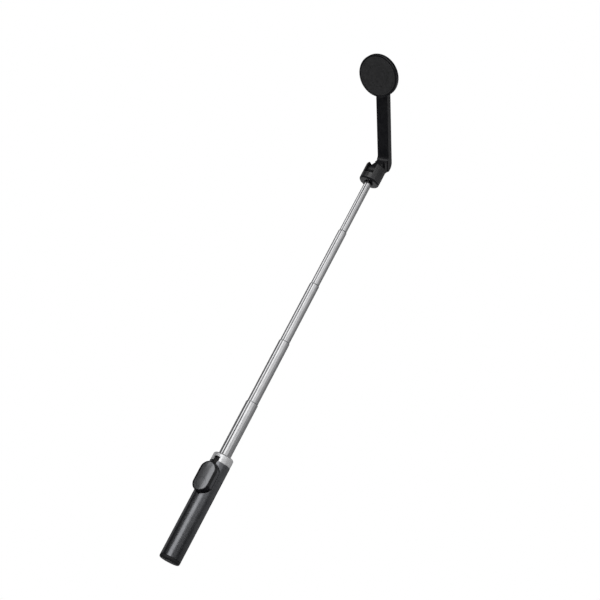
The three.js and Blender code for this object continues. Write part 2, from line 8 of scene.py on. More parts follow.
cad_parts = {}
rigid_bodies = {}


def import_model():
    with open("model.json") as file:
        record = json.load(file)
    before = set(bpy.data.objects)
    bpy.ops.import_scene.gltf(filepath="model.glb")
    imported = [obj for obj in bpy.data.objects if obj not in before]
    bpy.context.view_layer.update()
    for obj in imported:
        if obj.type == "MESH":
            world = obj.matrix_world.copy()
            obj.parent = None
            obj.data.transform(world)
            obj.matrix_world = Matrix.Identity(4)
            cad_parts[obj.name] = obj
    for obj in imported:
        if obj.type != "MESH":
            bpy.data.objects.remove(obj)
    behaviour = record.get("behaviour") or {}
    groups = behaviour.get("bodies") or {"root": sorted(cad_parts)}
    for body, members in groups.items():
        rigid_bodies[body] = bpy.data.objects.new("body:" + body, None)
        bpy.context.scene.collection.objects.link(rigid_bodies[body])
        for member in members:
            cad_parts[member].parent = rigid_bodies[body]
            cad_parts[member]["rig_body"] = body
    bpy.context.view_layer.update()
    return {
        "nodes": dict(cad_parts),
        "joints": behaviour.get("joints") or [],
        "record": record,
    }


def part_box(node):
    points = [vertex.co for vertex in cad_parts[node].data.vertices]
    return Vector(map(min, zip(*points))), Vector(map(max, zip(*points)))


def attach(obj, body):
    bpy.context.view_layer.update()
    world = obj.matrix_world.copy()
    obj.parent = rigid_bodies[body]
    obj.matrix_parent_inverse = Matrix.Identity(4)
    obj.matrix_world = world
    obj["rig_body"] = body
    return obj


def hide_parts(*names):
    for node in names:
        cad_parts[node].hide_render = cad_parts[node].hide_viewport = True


# Telescopic selfie stick: fine meshes, materials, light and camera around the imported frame.
# Objects are in metres, +Z up the stick, with its front, where the remote is, at -Y.
# Shapes are drawn in millimetres and scaled as each piece is made.

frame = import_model()

X, Y, Z = range(3)
METRES = 0.001                   # one millimetre


# ---------------------------------------------------------------- camera

AIM = Vector((-0.0062, -0.0041, 0.3625))    # the middle of the picture
CAMERA_AZIMUTH = 33.74           # degrees from the front towards +X
CAMERA_ELEVATION = -19.17        # the camera looks up from below
CAMERA_ROLL = 27.90
CAMERA_DISTANCE = 1.68
CAMERA_LENS = 80                 # millimetres, on a sensor 36 mm wide


def direction(azimuth, elevation):
    """The direction from the stick towards a place round it, in degrees from the front."""
    turn, rise = math.radians(azimuth), math.radians(elevation)
    return Vector((math.sin(turn) * math.cos(rise), -math.cos(turn) * math.cos(rise), math.sin(rise)))


def make_camera():
    towards = direction(CAMERA_AZIMUTH, CAMERA_ELEVATION)
    upright = towards.to_track_quat("Z", "Y").to_matrix()
    rolled = upright @ Matrix.Rotation(math.radians(CAMERA_ROLL), 3, "Z")
    camera = bpy.data.objects.new("camera", bpy.data.cameras.new("camera"))
    camera.matrix_world = Matrix.LocRotScale(AIM + towards * CAMERA_DISTANCE, rolled, None)
    camera.data.lens = CAMERA_LENS
    camera.data.sensor_width = 36
    camera.data.clip_start = 0.01
    bpy.context.scene.collection.objects.link(camera)
    bpy.context.scene.camera = camera


# ---------------------------------------------------------------- light and floor

FLOOR_Z = -0.36                  # below the camera, which looks up at the stick held in the air
FLOOR_SIZE = 30.0                # from its middle to its edges


def panel(name, azimuth, width, bottom, top, brightness, distance=2.2):
    """An upright soft light panel that faces the stick, and that the camera doesn't see."""
    light = bpy.data.lights.new(name, "AREA")
    light.shape = "RECTANGLE"
    light.size = width
    light.size_y = top - bottom
    light.energy = brightness * math.pi * width * (top - bottom)
    lamp = bpy.data.objects.new(name, light)
    towards = direction(azimuth, 0)
    lamp.location = towards * distance + Vector((0, 0, (bottom + top) / 2))
    lamp.rotation_mode = "QUATERNION"
    lamp.rotation_quaternion = towards.to_track_quat("Z", "Y")
    lamp.visible_camera = False
    bpy.context.scene.collection.objects.link(lamp)


def make_lights():
    """A bright panel in front of the stick, dimmer ones round it, and low ones behind."""
    panel("key", azimuth=6, width=1.5, bottom=-0.2, top=2.1, brightness=1.4)
    panel("left", azimuth=-36, width=0.9, bottom=0.68, top=1.5, brightness=1.0)
    panel("fill", azimuth=50, width=1.8, bottom=0.5, top=1.65, brightness=0.88)
    panel("side", azimuth=92, width=1.6, bottom=0.6, top=1.6, brightness=0.44)
    panel("back", azimuth=142, width=2.6, bottom=0.3, top=2.1, brightness=0.22)
    panel("edge", azimuth=-96, width=1.5, bottom=0.0, top=2.1, brightness=0.22)
    panel("low", azimuth=-146, width=1.6, bottom=-0.34, top=0.1, brightness=0.3)
    panel("rear", azimuth=-155, width=1.8, bottom=-0.34, top=0.12, brightness=0.5, distance=1.0)


def make_world():
    """White all round, but a dim grey room in reflections."""
    world = bpy.data.worlds.new("studio")
    world.use_nodes = True
    nodes, links = world.node_tree.nodes, world.node_tree.links
    nodes.clear()
    backdrop = nodes.new("ShaderNodeBackground")
    backdrop.inputs["Color"].default_value = (1, 1, 1, 1)
    room = nodes.new("ShaderNodeBackground")
    room.inputs["Color"].default_value = (0.02, 0.0205, 0.022, 1)
    ray = nodes.new("ShaderNodeLightPath")
    mix = nodes.new("ShaderNodeMixShader")
    output = nodes.new("ShaderNodeOutputWorld")
    links.new(ray.outputs["Is Glossy Ray"], mix.inputs["Fac"])
    links.new(backdrop.outputs["Background"], mix.inputs[1])
    links.new(room.outputs["Background"], mix.inputs[2])
    links.new(mix.outputs["Shader"], output.inputs["Surface"])
    bpy.context.scene.world = world
    bpy.context.scene.view_settings.view_transform = "Standard"


# ---------------------------------------------------------------- material tools

def new_material(name, colour, roughness, metallic=0.0, specular=0.5):
    material = bpy.data.materials.new(name)
    material.use_nodes = True
    shader = material.node_tree.nodes["Principled BSDF"]
    shader.inputs["Base Color"].default_value = (*colour, 1)
    shader.inputs["Roughness"].default_value = roughness
    shader.inputs["Metallic"].default_value = metallic
    shader.inputs["Specular IOR Level"].default_value = specular
    return material


def place_nodes(material, stretch=(1, 1, 1)):
    """Object coordinates in metres, multiplied along each axis."""
    nodes, links = material.node_tree.nodes, material.node_tree.links
    place = nodes.new("ShaderNodeTexCoord")
    mapping = nodes.new("ShaderNodeMapping")
    mapping.inputs["Scale"].default_value = stretch
    links.new(place.outputs["Object"], mapping.inputs["Vector"])
    return mapping.outputs["Vector"]


def noise(material, grain, stretch=(1, 1, 1), detail=3.0):
    """A noise whose grains are about this many millimetres across."""
    nodes, links = material.node_tree.nodes, material.node_tree.links
    texture = nodes.new("ShaderNodeTexNoise")
    texture.inputs["Scale"].default_value = 1 / (grain * METRES)
    texture.inputs["Detail"].default_value = detail
    links.new(place_nodes(material, stretch), texture.inputs["Vector"])
    return texture.outputs["Fac"]


def cells(material, grain):
    """Small rounded pits, like a spark-eroded mould leaves."""
    nodes, links = material.node_tree.nodes, material.node_tree.links
    texture = nodes.new("ShaderNodeTexVoronoi")
    texture.feature = "SMOOTH_F1"
    texture.inputs["Scale"].default_value = 1 / (grain * METRES)
    texture.inputs["Smoothness"].default_value = 0.6
    links.new(place_nodes(material), texture.inputs["Vector"])
    return texture.outputs["Distance"]


def vary(material, socket, pattern, low, high, from_low=0.3, from_high=0.7):
    """Lets a pattern move a shader's number between two values."""
    nodes, links = material.node_tree.nodes, material.node_tree.links
    spread = nodes.new("ShaderNodeMapRange")
    spread.inputs["From Min"].default_value = from_low
    spread.inputs["From Max"].default_value = from_high
    spread.inputs["To Min"].default_value = low
    spread.inputs["To Max"].default_value = high
    links.new(pattern, spread.inputs["Value"])
    links.new(spread.outputs["Result"], nodes["Principled BSDF"].inputs[socket])


def tint(material, pattern, low, high, from_low=0.3, from_high=0.7):
    """Lets a pattern move the base colour between two colours."""
    nodes, links = material.node_tree.nodes, material.node_tree.links
    ramp = nodes.new("ShaderNodeValToRGB")
    ramp.color_ramp.elements[0].position = from_low
    ramp.color_ramp.elements[1].position = from_high
    ramp.color_ramp.elements[0].color = (*low, 1)
    ramp.color_ramp.elements[1].color = (*high, 1)
    links.new(pattern, ramp.inputs["Fac"])
    links.new(ramp.outputs["Color"], nodes["Principled BSDF"].inputs["Base Color"])


def emboss(material, pattern, height, strength=1.0):
    """Raises a pattern on the surface by a height in millimetres, on top of any raised before."""
    nodes, links = material.node_tree.nodes, material.node_tree.links
    normal = nodes["Principled BSDF"].inputs["Normal"]
    bump = nodes.new("ShaderNodeBump")
    bump.inputs["Strength"].default_value = strength
    bump.inputs["Distance"].default_value = height * METRES
    links.new(pattern, bump.inputs["Height"])
    if normal.is_linked:
        links.new(normal.links[0].from_socket, bump.inputs["Normal"])
    links.new(bump.outputs["Normal"], normal)


# ---------------------------------------------------------------- materials

def grip_black():
    """Dark metallic lacquer under a satin clear coat, with a fine orange peel."""
    material = new_material("grip_black", (0.2, 0.204, 0.216), 0.4, metallic=1.0)
    tint(material, noise(material, 9), (0.2, 0.204, 0.216), (0.25, 0.255, 0.268))
    vary(material, "Roughness", noise(material, 2.5), 0.26, 0.32)
    emboss(material, noise(material, 0.35), 0.006)
    emboss(material, noise(material, 1.6), 0.008)
    return material


def cap_black():
    """Matt moulded plastic with a spark-eroded texture."""
    material = new_material("cap_black", (0.007, 0.007, 0.008), 0.55)
    tint(material, noise(material, 6), (0.005, 0.005, 0.006), (0.01, 0.01, 0.011))
    vary(material, "Roughness", noise(material, 1.2), 0.5, 0.64)
    emboss(material, cells(material, 0.22), 0.02)
    return material


def nylon():
    """Dark glass-filled nylon: dull, with a faint mottle."""
    material = new_material("nylon", (0.03, 0.03, 0.032), 0.5)
    tint(material, noise(material, 1.5, detail=6), (0.022, 0.022, 0.024), (0.042, 0.042, 0.045))
    vary(material, "Roughness", noise(material, 0.8), 0.44, 0.6)
    emboss(material, noise(material, 0.3), 0.01)
    return material


def silver_collar():
    """Bead-blasted, bright anodised aluminium."""
    material = new_material("silver_collar", (0.86, 0.86, 0.87), 0.36, metallic=0.85)
    tint(material, noise(material, 3), (0.84, 0.84, 0.85), (0.9, 0.9, 0.91))
    vary(material, "Roughness", noise(material, 1.0), 0.33, 0.42)
    emboss(material, cells(material, 0.12), 0.004)
    return material


def nickel():
    """Nickel plating with a slight haze."""
    material = new_material("nickel", (0.62, 0.6, 0.57), 0.22, metallic=1.0)
    tint(material, noise(material, 2.5), (0.56, 0.54, 0.51), (0.66, 0.64, 0.61))
    vary(material, "Roughness", noise(material, 1.0, detail=6), 0.16, 0.3)
    emboss(material, noise(material, 0.5), 0.003)
    return material


def remote_black():
    """Semi-gloss black plastic."""
    material = new_material("remote_black", (0.004, 0.004, 0.005), 0.28)
    tint(material, noise(material, 5), (0.003, 0.003, 0.004), (0.006, 0.006, 0.007))
    vary(material, "Roughness", noise(material, 1.8, detail=5), 0.24, 0.34)
    emboss(material, noise(material, 0.6), 0.004)
    return material


def remote_grey():
    """Smoky grey satin lacquer with a metallic fleck."""
    material = new_material("remote_grey", (0.2, 0.2, 0.21), 0.3, metallic=0.85)
    tint(material, noise(material, 0.18, detail=2), (0.2, 0.203, 0.212), (0.26, 0.264, 0.275))
    vary(material, "Roughness", noise(material, 2.0), 0.27, 0.34)
    emboss(material, noise(material, 0.25), 0.004)
    return material


def circuit_board():
    """Green solder mask over darker copper tracks."""
    material = new_material("circuit_board", (0.02, 0.12, 0.05), 0.35)
    tracks = noise(material, 1.2, stretch=(1, 1, 0.2), detail=0)
    tint(material, tracks, (0.012, 0.075, 0.03), (0.03, 0.15, 0.06), 0.48, 0.52)
    vary(material, "Roughness", noise(material, 0.8), 0.28, 0.42)
    emboss(material, tracks, 0.03)
    return material


def polished_steel():
    """Stainless steel polished along its length, with faint draw lines."""
    material = new_material("polished_steel", (0.62, 0.62, 0.63), 0.17, metallic=1.0)
    lengthways = (1, 1, 0.01)
    tint(material, noise(material, 8, detail=5), (0.58, 0.58, 0.59), (0.66, 0.66, 0.67))
    vary(material, "Roughness", noise(material, 0.5, lengthways), 0.12, 0.24)
    emboss(material, noise(material, 0.25, lengthways), 0.0015)
    return material


def hardware_steel():
    """Zinc-plated steel with a crystalline haze."""
    material = new_material("hardware_steel", (0.36, 0.37, 0.38), 0.35, metallic=1.0)
    tint(material, noise(material, 1.0, detail=6), (0.28, 0.29, 0.3), (0.45, 0.46, 0.48))
    vary(material, "Roughness", noise(material, 0.6), 0.28, 0.46)
    emboss(material, noise(material, 0.3), 0.006)
    return material


def head_black():
    """Satin black nylon with an even moulded grain."""
    material = new_material("head_black", (0.006, 0.006, 0.007), 0.3, specular=1.0)
    tint(material, noise(material, 5), (0.004, 0.004, 0.005), (0.008, 0.008, 0.009))
    vary(material, "Roughness", noise(material, 1.5), 0.26, 0.34)
    emboss(material, cells(material, 0.28), 0.012)
    return material


def arm_black():
    """Black powder coat on the cast arm: satin, with a fine even peel."""
    material = new_material("arm_black", (0.007, 0.007, 0.008), 0.36, specular=1.0)
    tint(material, noise(material, 7), (0.003, 0.003, 0.004), (0.007, 0.007, 0.008))
    vary(material, "Roughness", noise(material, 1.5), 0.32, 0.42)
    emboss(material, noise(material, 0.5), 0.012)
    return material


def pad_black():
    """Soft matt silicone with a fine leathery grain."""
    material = new_material("pad_black", (0.014, 0.014, 0.015), 0.72)
    tint(material, noise(material, 4, detail=6), (0.011, 0.011, 0.012), (0.02, 0.02, 0.021))
    vary(material, "Roughness", noise(material, 1.2), 0.66, 0.8)
    emboss(material, cells(material, 0.5), 0.03)
    return material


def floor_paint():
    """Plain pale paint, which glows a little so that the lamps leave no edges on it."""
    material = new_material("floor_paint", (0.08, 0.08, 0.08), 0.9, specular=0.0)
    tint(material, noise(material, 3), (0.075, 0.075, 0.075), (0.085, 0.085, 0.085))
    shader = material.node_tree.nodes["Principled BSDF"]
    shader.inputs["Emission Color"].default_value = (0.76, 0.76, 0.76, 1)
    shader.inputs["Emission Strength"].default_value = 1.0
    return material


FINISHES = {make.__name__: make() for make in (
    grip_black, cap_black, nylon, silver_collar, nickel, remote_black, remote_grey, circuit_board,
    polished_steel, hardware_steel, head_black, arm_black, pad_black)}
SLOTS = {row["node"]: row["material_slot"] for row in frame["record"]["subparts"]}


# ---------------------------------------------------------------- shape tools, in millimetres

AROUND = 128                     # points round a full turn
PAST = 1                         # a cutting tool reaches this far past what it cuts
FRONTWARDS = Matrix.Rotation(math.radians(90), 4, "X")     # turns +Z to -Y, and +Y to +Z
BACKWARDS = Matrix.Rotation(math.radians(-90), 4, "X")     # turns +Z to +Y
RIGHTWARDS = Matrix.Rotation(math.radians(90), 4, "Y")     # turns +Z to +X


def ends(node, axis):
    """The lowest and highest place of a CAD node along an axis."""
    lowest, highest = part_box(node)
    return lowest[axis] / METRES, highest[axis] / METRES


def rounded(corners, steps=6):
    """A line of points through corners given as (a, b, radius), with the corners rounded."""
    points = []
    for index, (a, b, radius) in enumerate(corners):
        here = Vector((a, b))
        if radius == 0:
            points.append(here)
            continue
        before = (Vector(corners[index - 1][:2]) - here).normalized()
        after = (Vector(corners[(index + 1) % len(corners)][:2]) - here).normalized()
        half = before.angle(after) / 2
        centre = here + (before + after).normalized() * radius / math.sin(half)
        start = here + before * radius / math.tan(half) - centre
        sweep = start.angle_signed(here + after * radius / math.tan(half) - centre)
        for step in range(steps + 1):
            points.append(centre + Matrix.Rotation(-sweep * step / steps, 2) @ start)
    return points


def ring(radius, height, around=AROUND):
    """A circle of points round the Z axis, or one point if it has no radius."""
    if radius == 0:
        return [Vector((0, 0, height))]
    turns = [2 * math.pi * step / around for step in range(around)]
    return [Vector((radius * math.cos(turn), radius * math.sin(turn), height)) for turn in turns]


def skin(rings, looped=False, capped=False):
    """A closed surface through rings of points, each ring joined to the next."""
    shape = bmesh.new()
    rows = [[shape.verts.new(point) for point in points] for points in rings]
    pairs = list(zip(rows, rows[1:]))
    if looped:
        pairs.append((rows[-1], rows[0]))
    for lower, upper in pairs:
        for index in range(max(len(lower), len(upper))):
            corners = [lower[index % len(lower)], lower[(index + 1) % len(lower)],
                       upper[(index + 1) % len(upper)], upper[index % len(upper)]]
            shape.faces.new(dict.fromkeys(corners))
    if capped:
        shape.faces.new(rows[0])
        shape.faces.new(rows[-1])
    bmesh.ops.recalc_face_normals(shape, faces=shape.faces)
    return shape


def turned(profile, around=AROUND):
    """A solid turned from (radius, height) points that start and end on the Z axis."""
    return skin([ring(radius, height, around) for radius, height in profile])


def turned_ring(profile, around=AROUND):
    """A ring turned from a closed profile of (radius, height) points."""
    return skin([ring(radius, height, around) for radius, height in profile], looped=True)


def cylinder(radius, low, high, around=AROUND):
    return turned([(0, low), (radius, low), (radius, high), (0, high)], around)


def disc(radius, low, high, edge):
    """A disc with rounded edges."""
    return turned(rounded([(0, low, 0), (radius, low, edge), (radius, high, edge), (0, high, 0)], 4))


def pill(width, length, middle, steps=28):
    """An upright pill outline, centred at a height."""
    radius = width / 2
    straight = length / 2 - radius
    turns = [math.pi * step / steps for step in range(steps + 1)]
    top = [(radius * math.cos(turn), middle + straight + radius * math.sin(turn)) for turn in turns]
    bottom = [(-radius * math.cos(turn), middle - straight - radius * math.sin(turn)) for turn in turns]
    return top + bottom


def pill_solid(width, length, middle, layers):
    """A pill-shaped solid through (inset, depth) layers, the depth measured towards the front."""
    rings = []
    for inset, depth in layers:
        outline = pill(width - 2 * inset, length - 2 * inset, middle)
        rings.append([Vector((x, height, depth)) for x, height in outline])
    solid = skin(rings, capped=True)
    solid.transform(FRONTWARDS)
    return solid


def round_edge(radius, depth, facing=1, steps=6):
    """Layers of a pill solid that round the edge of its face at a depth, facing the front or the back."""
    turns = [math.pi / 2 * step / steps for step in range(steps + 1)]
    return [(radius * (1 - math.cos(turn)), depth - facing * radius * (1 - math.sin(turn)))
            for turn in turns]


def prism(outline, low, high):
    """An outline in X and Y, drawn out along Z."""
    return skin([[Vector((x, y, z)) for x, y in outline] for z in (low, high)], capped=True)


def block(x_span, y_span, z_span):
    """A square-cornered block, to cut with."""
    left, right = x_span
    front, back = y_span
    return prism([(left, front), (right, front), (right, back), (left, back)], *z_span)


def placed(shape, *matrices):
    for matrix in matrices:
        shape.transform(matrix)
    return shape


def temporary(shape):
    data = bpy.data.meshes.new("temporary")
    shape.to_mesh(data)
    shape.free()
    thing = bpy.data.objects.new("temporary", data)
    bpy.context.scene.collection.objects.link(thing)
    return thing


def combined(operation, base, *others):
    """The base shape after a boolean with each of the others."""
    made = [temporary(base)]
    for other in others:
        made.append(temporary(other))
        modifier = made[0].modifiers.new("combine", "BOOLEAN")
        modifier.operation = operation
        modifier.solver = "EXACT"
        modifier.object = made[-1]
    bpy.context.view_layer.update()
    evaluated = made[0].evaluated_get(bpy.context.evaluated_depsgraph_get())
    result = bmesh.new()
    result.from_mesh(evaluated.to_mesh())
    evaluated.to_mesh_clear()
    for thing in made:
        bpy.data.meshes.remove(thing.data)
    return result


def cut(base, *tools):
    return combined("DIFFERENCE", base, *tools)


def join(base, *others):
    return combined("UNION", base, *others)


def overlap(base, other):
    return combined("INTERSECT", base, other)


# ---------------------------------------------------------------- making pieces

SHARP_FROM = 32                  # degrees between faces that keep a crisp edge


def make_smoothing():
    """A node group that merges split corners and shades a mesh smooth up to a sharp edge."""
    group = bpy.data.node_groups.new("smooth_by_angle", "GeometryNodeTree")
    group.interface.new_socket("Geometry", in_out="INPUT", socket_type="NodeSocketGeometry")
    group.interface.new_socket("Geometry", in_out="OUTPUT", socket_type="NodeSocketGeometry")
    nodes, links = group.nodes, group.links
    start = nodes.new("NodeGroupInput")
    merge = nodes.new("GeometryNodeMergeByDistance")
    merge.inputs["Distance"].default_value = 0.005 * METRES
    faces = nodes.new("GeometryNodeSetShadeSmooth")
    faces.domain = "FACE"
    edges = nodes.new("GeometryNodeSetShadeSmooth")
    edges.domain = "EDGE"
    edges.inputs["Shade Smooth"].default_value = False
    angle = nodes.new("GeometryNodeInputMeshEdgeAngle")
    compare = nodes.new("FunctionNodeCompare")
    compare.operation = "GREATER_THAN"
    compare.inputs["B"].default_value = math.radians(SHARP_FROM)
    end = nodes.new("NodeGroupOutput")
    links.new(start.outputs["Geometry"], merge.inputs["Geometry"])
    links.new(merge.outputs["Geometry"], faces.inputs["Geometry"])
    links.new(faces.outputs["Geometry"], edges.inputs["Geometry"])
    links.new(angle.outputs["Unsigned Angle"], compare.inputs["A"])
    links.new(compare.outputs["Result"], edges.inputs["Selection"])
    links.new(edges.outputs["Geometry"], end.inputs["Geometry"])
    return group


SMOOTHING = make_smoothing()


def shade(thing, bevel=0.0):
    """Rounds a mesh's sharp edges by a radius in millimetres, if given, and shades it smooth."""
    if bevel:
        edges = thing.modifiers.new("edges", "BEVEL")
        edges.width = bevel * METRES
        edges.segments = 3
        edges.limit_method = "ANGLE"
        edges.angle_limit = math.radians(SHARP_FROM)
    smooth = thing.modifiers.new("smooth", "NODES")
    smooth.node_group = SMOOTHING
    weighted = thing.modifiers.new("normals", "WEIGHTED_NORMAL")
    weighted.keep_sharp = True


def piece(node, shape, place=Matrix.Identity(4), bevel=0.0):
    """Makes the fine piece that stands for a CAD node, from a shape in millimetres."""
    shape.transform(place)
    shape.transform(Matrix.Scale(METRES, 4))
    data = bpy.data.meshes.new(f"{node}_fine")
    shape.to_mesh(data)
    shape.free()
    data.materials.append(FINISHES[SLOTS[node]])
    thing = bpy.data.objects.new(f"{node}_fine", data)
    bpy.context.scene.collection.objects.link(thing)
    shade(thing, bevel)
    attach(thing, frame["nodes"][node]["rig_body"])
    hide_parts(node)
    return thing


# ---------------------------------------------------------------- handle

SEAM = 0.3                       # gap between pieces that touch
END_EDGE = 2.5                   # rounding of the handle's, the collar's and the head's ends
HANDLE_WALL = 1.6
COLLAR_WALL = 1.2
NOTCH_W = 8.0
NOTCH_H = 5.8
handle_r = ends("handle_shell", X)[1]
handle_low, handle_top = ends("handle_shell", Z)
sleeve_r = ends("guide_sleeve", Y)[1]
case_low, case_high = ends("remote_case", Z)
remote_middle = (case_low + case_high) / 2
cradle_low, cradle_high = ends("remote_cradle", Z)
cradle_width = 2 * ends("remote_cradle", X)[1]
cradle_length = cradle_high - cradle_low
tongue_w = 2 * ends("cradle_tongue", X)[1]
cradle_face, cradle_back = (-place for place in ends("remote_cradle", Y))


def handle_shell():
    """The grip tube, with rounded lips and the window that the cradle fills."""
    bore = handle_r - HANDLE_WALL
    tube = turned_ring([(bore, handle_low), (handle_r, handle_low),
                        (handle_r, handle_top), (bore, handle_top)], 2 * AROUND)
    room = 2 * SEAM
    window = pill_solid(cradle_width + room, cradle_length + room, remote_middle,
                        [(0, handle_r / 2), (0, handle_r + PAST)])
    reach = tongue_w / 2 + SEAM
    slot = block((-reach, reach), (-handle_r - PAST, PAST - bore), (remote_middle, handle_top + PAST))
    piece("handle_shell", cut(tube, window, slot), bevel=0.2)


def base_cap():
    """The handle's rounded end, with a shallow ring turned in its bottom face."""
    face_high = handle_low - SEAM
    spigot_top = ends("base_cap", Z)[1]
    spigot_out = handle_r - HANDLE_WALL - SEAM
    spigot_in = sleeve_r + SEAM
    groove_out, groove_in, groove_depth = 9.6, 8.8, 0.35
    piece("base_cap", turned(rounded([
        (0, groove_depth, 0), (groove_in, groove_depth, 0.15), (groove_out, 0, 0.2),
        (handle_r, 0, END_EDGE), (handle_r, face_high, 0.2), (spigot_out, face_high, 0),
        (spigot_out, spigot_top, 0.3), (spigot_in, spigot_top, 0.3), (spigot_in, face_high, 0),
        (0, face_high, 0)])))


def collar():
    """The silver ring at the handle's mouth, with its notch at the front."""
    radius = ends("collar", X)[1]
    low, top = ends("collar", Z)
    bore = sleeve_r + SEAM
    shell = turned_ring(rounded([
        (radius - COLLAR_WALL, low, 0), (radius, low, 0), (radius, top, END_EDGE), (bore, top, 0),
        (bore, top - COLLAR_WALL, 0),
        (radius - COLLAR_WALL, top - COLLAR_WALL, END_EDGE - COLLAR_WALL)], 8), 2 * AROUND)
    notch = block((-NOTCH_W / 2, NOTCH_W / 2), (-radius - PAST, -bore), (low - PAST, low + NOTCH_H))
    piece("collar", cut(shell, notch), bevel=0.25)


def remote_cradle():
    """The boss that the remote clips on, with its magnet pockets."""
    boss = pill_solid(cradle_width, cradle_length, remote_middle,
                      [(0, cradle_back), *round_edge(0.5, cradle_face)])
    core = cylinder(sleeve_r + SEAM, 0, handle_top)
    pockets = [placed(cylinder(magnet_r + SEAM, cradle_face - magnet_depth, cradle_face + PAST),
                      FRONTWARDS, Matrix.Translation((0, 0, height)))
               for height in magnet_heights]
    piece("remote_cradle", cut(boss, core, *pockets), bevel=0.15)


def cradle_tongue():
    """The black key above the cradle, with rounded edges."""
    spans = [ends("cradle_tongue", axis) for axis in (X, Y, Z)]
    piece("cradle_tongue", block(*spans), bevel=0.4)


magnet_r = ends("cradle_magnet_lower", X)[1]
magnet_depth = ends("cradle_magnet_lower", Y)[1] + cradle_face + SEAM
magnet_heights = [sum(ends(node, Z)) / 2 for node in ("cradle_magnet_lower", "cradle_magnet_upper")]


def cradle_magnets():
    for node, height in zip(("cradle_magnet_lower", "cradle_magnet_upper"), magnet_heights):
        back, face = (-place for place in reversed(ends(node, Y)))
        piece(node, disc(magnet_r, back, face, 0.25), Matrix.Translation((0, 0, height)) @ FRONTWARDS)


# ---------------------------------------------------------------- remote

REMOTE_WALL = 1.3
FACE_MARGIN = 0.2                # round the grey face, inside the case's wall
ACROSS_CROWN = 1.6               # the face's middle stands this far above its sides
ROUND_CROWN = 0.6                # and this much more above its whole edge
FACE_ROOT = 0.6                  # the face's sides go this far down into the case
BUTTON_FLANGE_W = 0.8
BUTTON_FLANGE_T = 0.4
BUTTON_ROOT = 0.2                # the button's stem runs this far into its domed top
case_width = 2 * ends("remote_case", X)[1]
case_length = case_high - case_low
case_back = -ends("remote_case", Y)[1]
face_front, face_back = (-place for place in ends("remote_face", Y))
case_front = -ends("remote_case", Y)[0]
face_width = case_width - 2 * (REMOTE_WALL + FACE_MARGIN)
face_length = case_length - 2 * (REMOTE_WALL + FACE_MARGIN)
face_edge_back = face_front - ACROSS_CROWN - ROUND_CROWN - FACE_ROOT
button_r = ends("shutter_button", X)[1] - BUTTON_FLANGE_W
button_middle = sum(ends("shutter_button", Z)) / 2


def remote_case():
    """The black cup that holds the remote's works, with the battery door's hole in its back."""
    outside = pill_solid(case_width, case_length, remote_middle,
                         [*reversed(round_edge(0.6, case_back, facing=-1)), *round_edge(1.1, case_front)])
    floor_face = -ends("remote_cell", Y)[1] - SEAM / 2
    hollow = pill_solid(case_width - 2 * REMOTE_WALL, case_length - 2 * REMOTE_WALL, remote_middle,
                        [(0, floor_face), (0, face_front + PAST)])
    door_r = ends("remote_cell_door", X)[1] + SEAM
    door_hole = placed(cylinder(door_r, case_back - PAST, floor_face + PAST), FRONTWARDS,
                       Matrix.Translation((0, 0, sum(ends("remote_cell_door", Z)) / 2)))
    piece("remote_case", cut(outside, hollow, door_hole), bevel=0.12)


def remote_cell_door():
    """A round door with a slot for a coin."""
    radius = ends("remote_cell_door", X)[1]
    front, back = (-place for place in ends("remote_cell_door", Y))
    middle = sum(ends("remote_cell_door", Z)) / 2
    door = placed(disc(radius, back, front, 0.15), FRONTWARDS, Matrix.Translation((0, 0, middle)))
    slot_w, slot_l, slot_depth = 1.4, 10, 0.4
    slot = block((-slot_l / 2, slot_l / 2), (-back - slot_depth, PAST - back),
                 (middle - slot_w / 2, middle + slot_w / 2))
    piece("remote_cell_door", cut(door, slot), bevel=0.1)


def on_button(shape):
    """Places a shape turned about Z on the button's axis, its +Z towards the front."""
    return placed(shape, FRONTWARDS, Matrix.Translation((0, 0, button_middle)))


def crowned_face():
    """The face's solid: curved mostly across, with a round edge."""
    half = face_width / 2
    edge, core, steps = 0.35, 0.2, 12
    insets = [edge + (half - core - edge) * step / steps for step in range(steps + 1)]
    dome = [(inset, ROUND_CROWN * ((half - inset) / half) ** 2) for inset in insets]
    rim = [(inset, dome[0][1] - depth) for inset, depth in round_edge(edge, 0)[:-1]]
    outline = pill(face_width, face_length, remote_middle)
    rings = [[Vector((x, height, face_edge_back)) for x, height in outline]]
    for inset, drop in rim + dome:
        outline = pill(face_width - 2 * inset, face_length - 2 * inset, remote_middle)
        rings.append([Vector((x, height, face_front - drop - ACROSS_CROWN * (x / half) ** 2))
                      for x, height in outline])
    solid = skin(rings, capped=True)
    solid.transform(FRONTWARDS)
    return solid


def remote_face():
    """The domed grey face, with the button's hole and room behind for its flange."""
    hole = on_button(cylinder(button_r + FACE_MARGIN, face_edge_back - PAST, face_front + PAST))
    flange_room = on_button(cylinder(button_r + BUTTON_FLANGE_W + SEAM, face_edge_back - PAST, face_back))
    piece("remote_face", cut(crowned_face(), hole, flange_room), bevel=0.12)


def shutter_button():
    """The round key: its top follows the face's dome, and a flange holds it in behind."""
    back = -ends("shutter_button", Y)[1]
    front = -ends("shutter_button", Y)[0]
    outline = on_button(cylinder(button_r, back, face_front + PAST))
    dome = placed(crowned_face(), Matrix.Translation((0, face_front - front, 0)))
    stem = on_button(cylinder(button_r, back, face_back + BUTTON_ROOT))
    flange = on_button(cylinder(button_r + BUTTON_FLANGE_W, back, back + BUTTON_FLANGE_T))
    piece("shutter_button", join(overlap(dome, outline), stem, flange), bevel=0.12)


# ---------------------------------------------------------------- telescopic tubes

